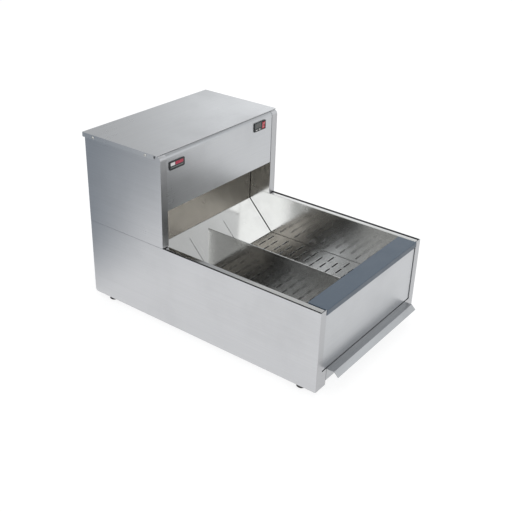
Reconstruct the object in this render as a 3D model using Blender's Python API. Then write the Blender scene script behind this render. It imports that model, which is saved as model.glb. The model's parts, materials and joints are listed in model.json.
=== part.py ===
"""Countertop heated holding station for fried food, in metres, +Z up.

A polished double-walled bin with a lift-out perforated floor and divider stands in front of a tall
rear hood. The hood holds a blower, a tubular heating element and a temperature controller, and
blows warm air under the bin floor. A crumb tray slides out of the front below the bin.

X is the width and is centred. A depth is measured backwards from the front face of the body, and a
height upwards from the lower edge of the body, so Y = FRONT_Y + depth and Z = FOOT_HEIGHT + height.
"""

import math

import bmesh
import bpy
from mathutils import Matrix, Vector

# Body
BODY_WIDTH = 0.460
BODY_DEPTH = 0.710
BODY_HEIGHT = 0.451
BASE_HEIGHT = 0.211
HOOD_DEPTH = 0.459
FOOT_HEIGHT = 0.016
WALL = 0.020
FLANGE = 0.022
SHEET = 0.0015
GAP = 0.0005
HOOD_BEND = 0.012
REAR_CORNER = 0.008

# Hood cover
COVER_OVERHANG = 0.004
COVER_SKIRT = 0.012
COVER_SETBACK = 0.008
COVER_LIP = 0.0008

# Bin
FLOOR_HEIGHT = 0.093
BIN_FRONT = 0.050
BACK_WALL_DEPTH = 0.528
BACK_WALL_FOOT = 0.177
CHUTE_FOOT_DEPTH = 0.4492
MOUTH_HEIGHT = 0.305
DIVIDER_X = 0.070
DIVIDER_HALF = 0.0006
SLOT_HALF = 0.0008
CHUTE_CLEARANCE = 0.0020
RIM_SETBACK = 0.0075

# Front rail and crumb tray
RAIL_THICKNESS = 0.003
RAIL_LIP = 0.014
TRAY_HALF = 0.1875
TRAY_BOTTOM = 0.012
TRAY_TOP = 0.045
TRAY_LENGTH = 0.440
LEDGE = 0.020
HANDLE_REACH = 0.032
HANDLE_DROP = 0.0115

# Worked out from the above
HALF = BODY_WIDTH / 2
INNER = HALF - WALL
FRONT_Y = (HANDLE_REACH - BODY_DEPTH - COVER_OVERHANG) / 2
HOOD_TOP = BODY_HEIGHT - SHEET - GAP
SEAM = BASE_HEIGHT + GAP
RIM = BASE_HEIGHT - 0.0012
CHUTE_RUN = (BACK_WALL_DEPTH - CHUTE_FOOT_DEPTH) / (BACK_WALL_FOOT - FLOOR_HEIGHT)
SIDES = {"left": -1, "right": 1}

# Finishes: colour, roughness, metallic
STEEL = ((0.60, 0.61, 0.63), 0.30, 1.0)
POLISHED = ((0.66, 0.66, 0.66), 0.12, 1.0)
GALVANISED = ((0.52, 0.54, 0.56), 0.45, 1.0)
RAIL_GREY = ((0.085, 0.11, 0.145), 0.45, 0.0)
RUBBER = ((0.02, 0.02, 0.02), 0.80, 0.0)
BLACK = ((0.02, 0.022, 0.024), 0.45, 0.0)
LENS = ((0.01, 0.02, 0.018), 0.08, 0.0)
RED = ((0.45, 0.02, 0.04), 0.35, 0.0)
ELEMENT = ((0.16, 0.15, 0.14), 0.55, 1.0)
CREAM = ((0.72, 0.69, 0.60), 0.55, 0.0)


# Modelling helpers


def place(x, depth, height):
    """The world point at this X, depth and height."""
    return Vector((x, FRONT_Y + depth, FOOT_HEIGHT + height))


def paint(obj, finish):
    colour, roughness, metallic = finish
    material = bpy.data.materials.new(obj.name + "_finish")
    material.use_nodes = True
    shader = material.node_tree.nodes["Principled BSDF"]
    shader.inputs["Base Color"].default_value = (*colour, 1.0)
    shader.inputs["Roughness"].default_value = roughness
    shader.inputs["Metallic"].default_value = metallic
    obj.data.materials.append(material)


def to_object(name, mesh_maker):
    """An object whose mesh is made by mesh_maker(bm), with normals facing out."""
    bm = bmesh.new()
    mesh_maker(bm)
    bmesh.ops.recalc_face_normals(bm, faces=bm.faces)
    mesh = bpy.data.meshes.new(name)
    bm.to_mesh(mesh)
    bm.free()
    obj = bpy.data.objects.new(name, mesh)
    bpy.context.collection.objects.link(obj)
    return obj


def box(xs, depths, heights):
    """A block between two X values, two depths and two heights."""
    centre = place(sum(xs) / 2, sum(depths) / 2, sum(heights) / 2)
    size = (abs(xs[1] - xs[0]), abs(depths[1] - depths[0]), abs(heights[1] - heights[0]))
    matrix = Matrix.Translation(centre) @ Matrix.Diagonal((*size, 1.0))
    return to_object("box", lambda bm: bmesh.ops.create_cube(bm, size=1.0, matrix=matrix))


def prism(outline, sweep):
    """The closed outline of world points, extruded along sweep."""

    def make(bm):
        corners = [bm.verts.new(point) for point in outline]
        face = bm.faces.new(corners)
        swept = bmesh.ops.extrude_face_region(bm, geom=[face])["geom"]
        moved = [item for item in swept if isinstance(item, bmesh.types.BMVert)]
        bmesh.ops.translate(bm, verts=moved, vec=Vector(sweep))

    return to_object("prism", make)


def side_profile(points, xs):
    """A profile of (depth, height) points, extruded across X."""
    outline = [place(xs[0], depth, height) for depth, height in points]
    return prism(outline, (xs[1] - xs[0], 0, 0))


def front_profile(points, depths):
    """A profile of (x, height) points, extruded backwards."""
    outline = [place(x, depths[0], height) for x, height in points]
    return prism(outline, (0, depths[1] - depths[0], 0))


def rod(radius, start, end, sides=16, end_radius=None):
    """A round rod or cone between two world points."""
    axis = Vector(end) - Vector(start)
    turn = axis.to_track_quat("Z", "Y").to_matrix().to_4x4()
    matrix = Matrix.Translation((Vector(start) + Vector(end)) / 2) @ turn
    tip = radius if end_radius is None else end_radius
    return to_object(
        "rod",
        lambda bm: bmesh.ops.create_cone(
            bm, cap_ends=True, segments=sides, radius1=radius, radius2=tip,
            depth=axis.length, matrix=matrix,
        ),
    )


def arc(centre, radius, start, end, steps):
    """Points of (u, v) on an arc, with its angles in degrees."""
    angles = [math.radians(start + (end - start) * i / steps) for i in range(steps + 1)]
    return [(centre[0] + radius * math.cos(a), centre[1] + radius * math.sin(a)) for a in angles]


def bent_sheet(path, thickness=SHEET):
    """The outline of a folded sheet: path is its one face, and its other face is to the right."""
    points = [Vector(point) for point in path]
    runs = [(b - a).normalized() for a, b in zip(points, points[1:])]
    runs = [runs[0], *runs, runs[-1]]
    far = []
    for point, before, after in zip(points, runs, runs[1:]):
        normal = (Vector((before.y, -before.x)) + Vector((after.y, -after.x))).normalized()
        reach = thickness / normal.dot(Vector((before.y, -before.x)))
        far.append(point + normal * reach)
    return [tuple(point) for point in points + far[::-1]]


def combine(obj, tools, operation):
    """Applies one Boolean to obj for each tool, and removes the tools."""
    for tool in tools:
        modifier = obj.modifiers.new("combine", "BOOLEAN")
        modifier.operation = operation
        modifier.object = tool
        graph = bpy.context.evaluated_depsgraph_get()
        mesh = bpy.data.meshes.new_from_object(obj.evaluated_get(graph))
        obj.modifiers.clear()
        obj.data = mesh
        bpy.data.objects.remove(tool)
    return obj


def fuse(obj, *tools):
    return combine(obj, tools, "UNION")


def cut(obj, *tools):
    return combine(obj, tools, "DIFFERENCE")


def joined(pieces):
    """Separate cutters as one mesh, so that one Boolean makes all their cuts."""

    def make(bm):
        for piece in pieces:
            piece.data.transform(piece.matrix_world)
            bm.from_mesh(piece.data)
            bpy.data.objects.remove(piece)

    return to_object("cutters", make)


def finish(obj, name, look, origin=None, smooth=False):
    """Names and paints the object, and puts its origin on a world point."""
    obj.name = name
    obj.data.name = name
    obj.data.materials.clear()
    if origin is not None:
        obj.data.transform(Matrix.Translation(-Vector(origin)))
        obj.location = origin
    if smooth:
        obj.data.shade_smooth()
        obj.data.set_sharp_from_angle(angle=math.radians(35))
    paint(obj, look)
    return obj


def mirrored(x_values, side):
    """X values of a piece on the left, side = -1, or on the right, side = 1."""
    return tuple(side * x for x in x_values)


def side_rod(x_values, depth, height, radius, sides=12):
    """A rod along X."""
    start, end = (place(x, depth, height) for x in x_values)
    return rod(radius, start, end, sides)


def chute_depth(height):
    """The depth of the chute's upper face at a height."""
    return CHUTE_FOOT_DEPTH + (height - FLOOR_HEIGHT) * CHUTE_RUN


# Outer shell

FOOT_X = 0.2075
FOOT_DEPTHS = {"front": 0.052, "rear": 0.663}
FOOT_HOLE = 0.0026
TRAY_CHEEK = TRAY_HALF + 0.0015
COVER_SCREW_DEPTHS = {"front": 0.503, "rear": 0.677}
COVER_SCREW_HEIGHT = 0.4445
SCREW_HOLE = 0.0026


def base_side(side_name, side):
    """The lower side panel: its front flange widens at the bottom beside the crumb tray."""
    corner = arc((BODY_DEPTH - REAR_CORNER, REAR_CORNER), REAR_CORNER, -90, 0, 4)
    outline = [(0, 0), *corner, (BODY_DEPTH, BASE_HEIGHT), (0, BASE_HEIGHT)]
    skin = side_profile(outline, mirrored((HALF - SHEET, HALF), side))
    flange = box(mirrored((HALF - FLANGE, HALF), side), (0, SHEET), (0, BASE_HEIGHT))
    cheek = box(mirrored((TRAY_CHEEK, HALF), side), (0, SHEET), (0, TRAY_TOP))
    sole_depths = (0, BODY_DEPTH - REAR_CORNER - 0.002)
    sole = box(mirrored((0.190, HALF), side), sole_depths, (0, SHEET))
    panel = fuse(skin, flange, cheek, sole)
    holes = [
        rod(FOOT_HOLE, place(side * FOOT_X, depth, -0.003), place(side * FOOT_X, depth, 0.005), 12)
        for depth in FOOT_DEPTHS.values()
    ]
    cut(panel, joined(holes))
    return finish(panel, f"base_side_panel_{side_name}", STEEL)


def hood_side(side_name, side):
    """The upper side panel, with a front flange that follows the hood's rounded top edge."""
    centre = (HOOD_DEPTH + HOOD_BEND, HOOD_TOP - HOOD_BEND)
    bend = arc(centre, HOOD_BEND, 180, 90, 6)
    outline = [(BODY_DEPTH, SEAM), (HOOD_DEPTH, SEAM), *bend, (BODY_DEPTH, HOOD_TOP)]
    skin = side_profile(outline, mirrored((HALF - SHEET, HALF), side))
    inset = 0.0002
    flange_bend = arc(centre, HOOD_BEND - inset, 180, 90, 6)
    flange_path = bent_sheet([(HOOD_DEPTH + inset, SEAM + inset), *flange_bend])
    flange = side_profile(flange_path, mirrored((HALF - FLANGE, HALF - SHEET / 2), side))
    panel = fuse(skin, flange)
    reach = mirrored((HALF - 0.004, HALF + 0.002), side)
    holes = [
        side_rod(reach, depth, COVER_SCREW_HEIGHT, SCREW_HOLE)
        for depth in COVER_SCREW_DEPTHS.values()
    ]
    cut(panel, joined(holes))
    return finish(panel, f"hood_side_panel_{side_name}", STEEL)


DISPLAY_X = 0.1525
DISPLAY_HEIGHT = 0.4235
PANEL_RECESS = 0.001
PANEL_HALF = HALF - FLANGE - GAP


def hood_front_panel():
    """The panel over the bin's mouth: curved back under the cover, and turned in at its foot."""
    face, top = HOOD_DEPTH + PANEL_RECESS, HOOD_TOP - 0.0002
    radius = HOOD_BEND - PANEL_RECESS
    bend = arc((face + radius, top - radius), radius, 180, 90, 6)
    path = [(face + 0.012, MOUTH_HEIGHT), (face, MOUTH_HEIGHT), *bend, (HOOD_DEPTH + 0.045, top)]
    panel = side_profile(bent_sheet(path), (-PANEL_HALF, PANEL_HALF))
    window = box(
        (DISPLAY_X - 0.0226, DISPLAY_X + 0.0226),
        (face - 0.01, face + 0.01),
        (DISPLAY_HEIGHT - 0.0111, DISPLAY_HEIGHT + 0.0111),
    )
    cut(panel, window)
    return finish(panel, "hood_front_panel", STEEL)


def hood_cover():
    """The lid: a flat sheet with a shallow lip in front and skirts at the sides and the back."""
    half = HALF + COVER_OVERHANG
    front = HOOD_DEPTH + COVER_SETBACK
    back = BODY_DEPTH + COVER_OVERHANG
    skirt_heights = (BODY_HEIGHT - COVER_SKIRT, BODY_HEIGHT)
    underside = BODY_HEIGHT - SHEET
    top = box((-half, half), (front, back), (underside, BODY_HEIGHT))
    lip = box((-half, half), (front, front + SHEET / 2), (underside - COVER_LIP, BODY_HEIGHT))
    skirt_start = front + 0.010
    skirts = [
        box(mirrored((half - SHEET, half), side), (skirt_start, back), skirt_heights)
        for side in SIDES.values()
    ]
    skirts.append(box((-half, half), (back - SHEET, back), skirt_heights))
    cover = fuse(top, lip, *skirts)
    reach = (half - 0.004, half + 0.002)
    holes = [
        side_rod(mirrored(reach, side), depth, COVER_SCREW_HEIGHT, SCREW_HOLE)
        for side in SIDES.values()
        for depth in COVER_SCREW_DEPTHS.values()
    ]
    cut(cover, joined(holes))
    return finish(cover, "hood_top_cover", STEEL)


CROSS = (0.00045, 0.0021)


def cover_screw(side_name, side, end_name, depth):
    """A pan-head screw with a cross recess, through the cover's skirt into the hood side."""
    face = HALF + COVER_OVERHANG + 0.0003
    height = COVER_SCREW_HEIGHT
    shank = side_rod(mirrored((face - 0.012, face + 0.0005), side), depth, height, 0.002)
    start, end = (place(side * x, depth, height) for x in (face, face + 0.0018))
    head = rod(0.0038, start, end, 16, 0.0027)
    screw = fuse(head, shank)
    recess = mirrored((face + 0.0008, face + 0.003), side)
    for across, along in (CROSS, CROSS[::-1]):
        cut(screw, box(recess, (depth - across, depth + across), (height - along, height + along)))
    return finish(screw, f"cover_screw_{side_name}_{end_name}", GALVANISED, smooth=True)


INLET_X = 0.180
INLET_HEIGHT = 0.065


def rear_panel():
    """The back of the housing, with two groups of vent slots and the power inlet's cutout."""
    depths = (BODY_DEPTH - 0.0018, BODY_DEPTH - 0.0003)
    half = HALF - SHEET - GAP
    panel = box((-half, half), depths, (0.002, HOOD_TOP - GAP))
    through = (depths[0] - 0.004, depths[1] + 0.004)
    slots = [
        box((x - 0.035, x + 0.035), through, (height, height + 0.004))
        for x in (-0.11, 0.0, 0.11)
        for height in (0.330 + 0.014 * row for row in range(5))
    ]
    slots.append(
        box(
            (INLET_X - 0.0140, INLET_X + 0.0140),
            through,
            (INLET_HEIGHT - 0.0105, INLET_HEIGHT + 0.0105),
        )
    )
    cut(panel, joined(slots))
    return finish(panel, "rear_panel", STEEL)


def base_pan():
    """The floor of the machine compartment, turned up along its front edge."""
    path = [(0.4520, 0.0380), (0.4520, 0.0018), (0.7060, 0.0018)]
    outline = bent_sheet(path[::-1])
    pan = side_profile(outline, (-HALF + 0.003, HALF - 0.003))
    holes = [
        rod(0.0060, place(x, FOOT_DEPTHS["rear"], 0.0), place(x, FOOT_DEPTHS["rear"], 0.02), 12)
        for x in (-FOOT_X, FOOT_X)
    ]
    cut(pan, joined(holes))
    return finish(pan, "base_pan", GALVANISED)


def front_panel():
    """The flat panel between the front flanges, from the crumb tray up behind the rail's lip."""
    heights = (TRAY_TOP + 0.0015, BASE_HEIGHT - 0.006)
    panel = box((-PANEL_HALF, PANEL_HALF), (0.0020, 0.0020 + SHEET), heights)
    return finish(panel, "front_panel", STEEL)


def front_rail():
    """The dark work rail over the front of the bin, with a lip down over the front panel."""
    round_off = 0.0022
    nose = arc((-0.001 + round_off, BASE_HEIGHT - round_off), round_off, 180, 90, 4)
    outline = [
        (-0.001, BASE_HEIGHT - RAIL_LIP),
        *nose,
        (BIN_FRONT, BASE_HEIGHT),
        (BIN_FRONT, BASE_HEIGHT - RAIL_THICKNESS),
        (0.0016, BASE_HEIGHT - RAIL_THICKNESS),
        (0.0016, BASE_HEIGHT - RAIL_LIP),
    ]
    rail = side_profile(outline, (-PANEL_HALF, PANEL_HALF))
    return finish(rail, "front_rail", RAIL_GREY)


def turned_profile(points):
    """A closed profile of (radius, height) points, turned about the vertical axis."""

    def make(bm):
        corners = [bm.verts.new((radius, 0, height)) for radius, height in points]
        edges = [bm.edges.new(pair) for pair in zip(corners, corners[1:] + corners[:1])]
        bmesh.ops.spin(
            bm, geom=corners + edges, cent=(0, 0, 0), axis=(0, 0, 1), angle=2 * math.pi,
            steps=24, use_merge=True,
        )

    return to_object("turned", make)


def foot(side_name, side, end_name, depth):
    """A rubber foot, with a hole for its screw and a recess for the screw's head."""
    rubber = turned_profile(
        [(0.0027, -0.0003), (0.0115, -0.0003), (0.0125, -0.0145), (0.0110, -0.0160),
         (0.0056, -0.0160), (0.0056, -0.0110), (0.0027, -0.0110)]
    )
    rubber.data.transform(Matrix.Translation(place(side * FOOT_X, depth, 0)))
    return finish(rubber, f"foot_{end_name}_{side_name}", RUBBER, smooth=True)


def foot_screw(side_name, side, end_name, depth):
    """The screw that holds a foot on: its head sits in the rubber, and its end is inside."""
    x = side * FOOT_X
    head = rod(0.0048, place(x, depth, -0.0140), place(x, depth, -0.0114), 16)
    shank = rod(0.0022, place(x, depth, -0.0120), place(x, depth, 0.0085), 12)
    screw = fuse(head, shank)
    for across, along in (CROSS, CROSS[::-1]):
        recess = ((x - across, x + across), (depth - along, depth + along), (-0.0150, -0.0130))
        cut(screw, box(*recess))
    return finish(screw, f"foot_screw_{end_name}_{side_name}", GALVANISED, smooth=True)


# Bin


def bin_side_wall(side_name, side):
    """The inner side wall of the bin, with the flange that makes its rim."""
    wall = box(mirrored((INNER, INNER + SHEET), side), (0.0040, 0.5297), (0.0900, RIM))
    rim_xs = mirrored((INNER, HALF - RIM_SETBACK), side)
    rim = box(rim_xs, (0.0040, 0.4575), (RIM - SHEET, RIM))
    return finish(fuse(wall, rim), f"bin_side_wall_{side_name}", POLISHED)


def bin_front_wall():
    """The inner front wall, with a flange forward under the rail."""
    half = INNER - 0.0008
    path = [(0.0040, RIM - 0.0023), (BIN_FRONT, RIM - 0.0023), (BIN_FRONT, 0.0700)]
    wall = side_profile(bent_sheet(path), (-half, half))
    return finish(wall, "bin_front_wall", POLISHED)


def rear_chute():
    """The sloped wall at the back of the bin, slotted at each third for the divider's tab."""
    path = [(BACK_WALL_DEPTH, BACK_WALL_FOOT), (CHUTE_FOOT_DEPTH, FLOOR_HEIGHT + 0.0002)]
    half = INNER - CHUTE_CLEARANCE
    chute = side_profile(bent_sheet(path[::-1]), (-half, half))
    low, high = 0.0950, 0.1600
    reach = 0.006
    slot = [
        (chute_depth(low) - reach, low),
        (chute_depth(low) + reach, low),
        (chute_depth(high) + reach, high),
        (chute_depth(high) - reach, high),
    ]
    slots = [
        side_profile(slot, (x - SLOT_HALF, x + SLOT_HALF)) for x in (-DIVIDER_X, DIVIDER_X)
    ]
    cut(chute, joined(slots))
    return finish(chute, "rear_chute", POLISHED)


def back_wall():
    """The polished vertical wall under the hood."""
    half = INNER - CHUTE_CLEARANCE
    depths = (BACK_WALL_DEPTH, BACK_WALL_DEPTH + SHEET)
    heights = (BACK_WALL_FOOT + GAP, MOUTH_HEIGHT + 0.015)
    return finish(box((-half, half), depths, heights), "bin_back_wall", POLISHED)


def mouth_cheek(side_name, side):
    """The side of the hood's mouth, above the bin's side wall."""
    depths = (HOOD_DEPTH + 0.0022, 0.5297)
    heights = (RIM + 0.0004, MOUTH_HEIGHT + 0.0017)
    cheek = box(mirrored((INNER, INNER + SHEET), side), depths, heights)
    return finish(cheek, f"hood_mouth_cheek_{side_name}", POLISHED)


def intake_grille():
    """The slotted ceiling of the hood's mouth, through which the blower draws air back."""
    height = MOUTH_HEIGHT + 0.0020
    grille = box((-INNER + 0.001, INNER - 0.001), (0.4620, 0.5275), (height, height + SHEET))
    slots = [
        box((x - 0.0025, x + 0.0025), (0.477, 0.518), (height - 0.004, height + 0.006))
        for x in (-0.182 + 0.014 * i for i in range(27))
    ]
    cut(grille, joined(slots))
    return finish(grille, "air_intake_grille", POLISHED)


def bin_floor():
    """The lift-out floor, with staggered rows of air slots."""
    depths = (BIN_FRONT + 0.0006, CHUTE_FOOT_DEPTH - 0.0016)
    floor = box((-INNER + 0.0012, INNER - 0.0012), depths, (FLOOR_HEIGHT - SHEET, FLOOR_HEIGHT))
    pitch, row_pitch, slot_half, slot_width = 0.040, 0.025, 0.015, 0.004
    through = (FLOOR_HEIGHT - 0.005, FLOOR_HEIGHT + 0.004)
    slots = []
    for row in range(15):
        count = 9 if row % 2 else 10
        start = 0.075 + row_pitch * row
        for i in range(count):
            x = pitch * (i - (count - 1) / 2)
            slots.append(box((x - slot_half, x + slot_half), (start, start + slot_width), through))
    cut(floor, joined(slots))
    return finish(floor, "perforated_bin_floor", POLISHED)


def floor_support(side_name, side):
    """The angle along the bin's side wall that the floor rests on."""
    top = FLOOR_HEIGHT - SHEET - 0.0008
    path = mirrored((0.1985, INNER - GAP, INNER - GAP), side)
    outline = bent_sheet(list(zip(path, (top, top, 0.0750))), side * SHEET)
    support = front_profile(outline, (0.053, 0.446))
    return finish(support, f"floor_support_{side_name}", STEEL)


def divider():
    """The lift-out divider: one plate with a folded top edge and a tab for the chute's slot."""
    depths = (BIN_FRONT + 0.0015, CHUTE_FOOT_DEPTH - 0.0010)
    foot_height = FLOOR_HEIGHT + 0.0004
    top = RIM + 0.0007
    plate_xs = (-DIVIDER_X - DIVIDER_HALF, -DIVIDER_X + DIVIDER_HALF)
    hem_xs = (-DIVIDER_X - 2 * DIVIDER_HALF, -DIVIDER_X + 2 * DIVIDER_HALF)
    plate = box(plate_xs, depths, (foot_height, top))
    hem = box(hem_xs, depths, (top - 0.010, top))
    tab = box(plate_xs, (0.440, 0.4575), (0.0960, 0.1020))
    plate = fuse(plate, hem, tab)
    return finish(plate, "bin_divider", POLISHED, origin=place(-DIVIDER_X, 0.25, foot_height))


# Crumb tray


def crumb_tray():
    """The pan below the bin floor, with rims at its sides that ride on the runners."""
    half = 0.1817
    start = SHEET + 0.0003
    top = 0.0425
    pan = box((-half, half), (start, TRAY_LENGTH), (TRAY_BOTTOM, top))
    hollow = box(
        (-half + SHEET, half - SHEET),
        (start + SHEET, TRAY_LENGTH - SHEET),
        (TRAY_BOTTOM + SHEET, top + 0.01),
    )
    cut(pan, hollow)
    rims = [
        box(mirrored((half - SHEET / 2, 0.1870), side), (start, TRAY_LENGTH), (top - SHEET, top))
        for side in SIDES.values()
    ]
    fuse(pan, *rims)
    return finish(pan, "crumb_tray_pan", GALVANISED, origin=place(0, 0, TRAY_BOTTOM))


def tray_handle():
    """The tray's front: a plate that folds forward into a ledge and then down into a grip."""
    path = [
        (SHEET, TRAY_BOTTOM),
        (SHEET, TRAY_TOP),
        (-LEDGE, TRAY_TOP),
        (-HANDLE_REACH, TRAY_TOP - HANDLE_DROP),
    ]
    handle = side_profile(bent_sheet(path, -SHEET), (-TRAY_HALF, TRAY_HALF))
    return finish(handle, "crumb_tray_handle", STEEL, origin=place(0, 0, TRAY_TOP))


def tray_runner(side_name, side):
    """The Z-shaped runner that carries one rim of the tray."""
    path = mirrored((0.2050, 0.1900, 0.1900, 0.1825), side)
    outline = bent_sheet(list(zip(path, (0.0018, 0.0018, 0.0390, 0.0390))), side * SHEET)
    runner = front_profile(outline, (0.004, TRAY_LENGTH))
    return finish(runner, f"tray_runner_{side_name}", GALVANISED)


# Badge and controls

BADGE_X = -0.173
BADGE_HEIGHT = 0.417
PANEL_FACE = HOOD_DEPTH + PANEL_RECESS
BEZEL_DEPTHS = (PANEL_FACE - 0.0028, PANEL_FACE - 0.0003)
ROCKER_X = DISPLAY_X + 0.0150
BUTTON_XS = {"down": DISPLAY_X - 0.0150, "up": DISPLAY_X - 0.0030}


def rounded_rectangle(centre_x, centre_height, width, height, radius):
    """An outline of (x, height) points."""
    points = []
    for quarter, (right, up) in enumerate(((1, 1), (-1, 1), (-1, -1), (1, -1))):
        centre = (
            centre_x + right * (width / 2 - radius),
            centre_height + up * (height / 2 - radius),
        )
        points += arc(centre, radius, 90 * quarter, 90 * quarter + 90, 4)
    return points


def badge():
    """The plain plate at the hood's upper left."""
    outline = rounded_rectangle(BADGE_X, BADGE_HEIGHT, 0.054, 0.022, 0.004)
    plate = front_profile(outline, (PANEL_FACE - 0.0014, PANEL_FACE - 0.0003))
    return finish(plate, "badge_plate", BLACK)


def control_heights(low, high):
    """Two heights measured from the middle of the controller."""
    return (DISPLAY_HEIGHT + low, DISPLAY_HEIGHT + high)


def control_bezel():
    """The controller's front frame, with windows for the display, two buttons and the rocker."""
    outline = rounded_rectangle(DISPLAY_X, DISPLAY_HEIGHT, 0.048, 0.024, 0.001)
    frame = front_profile(outline, BEZEL_DEPTHS)
    through = (BEZEL_DEPTHS[0] - 0.002, BEZEL_DEPTHS[1] + 0.002)
    windows = [
        box((DISPLAY_X - 0.0215, DISPLAY_X + 0.0055), through, control_heights(-0.0040, 0.0100)),
        box((ROCKER_X - 0.0065, ROCKER_X + 0.0065), through, control_heights(-0.0102, 0.0102)),
    ]
    windows += [
        box((x - 0.0034, x + 0.0034), through, control_heights(-0.0096, -0.0058))
        for x in BUTTON_XS.values()
    ]
    cut(frame, joined(windows))
    return finish(frame, "control_bezel", BLACK)


def display_lens():
    depths = (BEZEL_DEPTHS[0] + 0.0006, BEZEL_DEPTHS[1])
    lens = box((DISPLAY_X - 0.0211, DISPLAY_X + 0.0051), depths, control_heights(-0.0036, 0.0096))
    return finish(lens, "display_lens", LENS)


def set_button(name, x):
    """A small push button that sets the holding temperature."""
    depths = (BEZEL_DEPTHS[0] - 0.0006, BEZEL_DEPTHS[1] + 0.0025)
    button = box((x - 0.0030, x + 0.0030), depths, control_heights(-0.0092, -0.0062))
    origin = place(x, BEZEL_DEPTHS[0], DISPLAY_HEIGHT - 0.0077)
    return finish(button, f"temperature_{name}_button", CREAM, origin=origin)


def power_rocker():
    """The red rocker, hinged on a line across its middle. At rest its lower end is pressed in."""
    tilt = math.radians(6)
    end, ridge, tip, heel, heel_end = 0.0093, 0.0016, 0.0028, 0.0014, 0.0075
    local = [(heel, -heel_end), (-tip, -end), (-ridge, 0.0), (-tip, end), (heel, heel_end)]
    pivot = (BEZEL_DEPTHS[1], DISPLAY_HEIGHT)
    turned = [
        (
            pivot[0] + depth * math.cos(tilt) - height * math.sin(tilt),
            pivot[1] + depth * math.sin(tilt) + height * math.cos(tilt),
        )
        for depth, height in local
    ]
    rocker = side_profile(turned, (ROCKER_X - 0.0060, ROCKER_X + 0.0060))
    return finish(rocker, "power_rocker", RED, origin=place(ROCKER_X, *pivot))


def controller_housing():
    """The controller's body behind the panel, with a row of rear terminals."""
    xs = (DISPLAY_X - 0.0222, DISPLAY_X + 0.0222)
    start = PANEL_FACE + 0.0032
    body = box(xs, (start, 0.548), control_heights(-0.0108, 0.0108))
    terminals = [
        box((x - 0.0025, x + 0.0025), (0.547, 0.553), control_heights(-0.0070, 0.0070))
        for x in (xs[0] + 0.0062 + 0.008 * i for i in range(5))
    ]
    fuse(body, *terminals)
    return finish(body, "controller_housing", BLACK)


# Hot-air system inside the housing

BLOWER = (0.615, 0.360)
BLOWER_HALF = 0.030
SCROLL_START, SCROLL_END = 0.058, 0.078
OUTLET_HEIGHT = 0.266
WHEEL_RADIUS = 0.050
DUCT_HALF = 0.150
DUCT_DEPTHS = (0.585, 0.700)
DUCT_HEIGHTS = (0.040, 0.262)
CHANNEL_FRONT = 0.4535
CHANNEL_TOP = 0.0885
ELEMENT_DEPTH = 0.640
ELEMENT_HEIGHTS = (0.110, 0.150, 0.190, 0.230)


def scroll_outline(inset, outlet_height):
    """The blower's spiral, from its cutoff round to its downward outlet."""
    points = []
    steps = 22
    for i in range(steps + 1):
        turned = 45 + (360 - 45) * i / steps
        radius = SCROLL_START + (SCROLL_END - SCROLL_START) * turned / 360 - inset
        angle = math.radians(-turned)
        points.append((BLOWER[0] + radius * math.cos(angle), BLOWER[1] + radius * math.sin(angle)))
    outlet_inside = points[0][0]
    return [*points, (points[-1][0], outlet_height), (outlet_inside, outlet_height)]


def blower_housing():
    """A spiral shell, open at its outlet, at its air inlet and where the shaft goes in."""
    shell = side_profile(scroll_outline(0.0, OUTLET_HEIGHT), (-BLOWER_HALF, BLOWER_HALF))
    inner = BLOWER_HALF - SHEET
    hollow = side_profile(scroll_outline(SHEET, OUTLET_HEIGHT - 0.01), (-inner, inner))
    inlet = side_rod((-BLOWER_HALF - 0.01, -inner + 0.01), *BLOWER, 0.034, 24)
    shaft_hole = side_rod((inner - 0.005, BLOWER_HALF + 0.01), *BLOWER, 0.0070, 12)
    cut(shell, hollow, inlet, shaft_hole)
    return finish(shell, "blower_housing", GALVANISED)


def blower_wheel():
    """The squirrel-cage wheel: a back disc with a hub, blades, and a front ring."""
    disc = side_rod((0.0225, 0.0240), *BLOWER, WHEEL_RADIUS, 32)
    hub = side_rod((0.0020, 0.0230), *BLOWER, 0.0100, 16)
    ring = side_rod((-0.0260, -0.0240), *BLOWER, WHEEL_RADIUS, 32)
    cut(ring, side_rod((-0.03, -0.02), *BLOWER, WHEEL_RADIUS - 0.010, 32))
    blades = []
    count = 20
    for i in range(count):
        angle = 2 * math.pi * (i + 0.5) / count
        radii = (WHEEL_RADIUS - 0.009, WHEEL_RADIUS - 0.001)
        blade = box((-0.0250, 0.0232), (-0.0005, 0.0005), radii)
        pull_to_axis = Matrix.Translation(-place(0, 0, 0))
        spin = Matrix.Rotation(angle, 4, "X")
        blade.data.transform(Matrix.Translation(place(0, *BLOWER)) @ spin @ pull_to_axis)
        blades.append(blade)
    wheel = fuse(disc, hub, ring, *blades)
    cut(wheel, side_rod((0.004, 0.030), *BLOWER, 0.0044, 12))
    return finish(wheel, "blower_wheel", GALVANISED, origin=place(0, *BLOWER))


def motor_shaft():
    """The shaft that joins the motor to the wheel's hub."""
    shaft = side_rod((0.0060, 0.0550), *BLOWER, 0.0040, 12)
    return finish(shaft, "motor_shaft", STEEL, origin=place(0, *BLOWER), smooth=True)


def blower_motor():
    """The motor beside the housing, with a boss round its shaft and a stepped rear cover."""
    body = side_rod((0.0420, 0.0900), *BLOWER, 0.0400, 28)
    boss = side_rod((0.0365, 0.0430), *BLOWER, 0.0130, 16)
    cover = side_rod((0.0890, 0.0960), *BLOWER, 0.0300, 24)
    motor = fuse(body, boss, cover)
    cut(motor, side_rod((0.030, 0.0600), *BLOWER, 0.0046, 12))
    return finish(motor, "blower_motor", BLACK, smooth=True)


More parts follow.
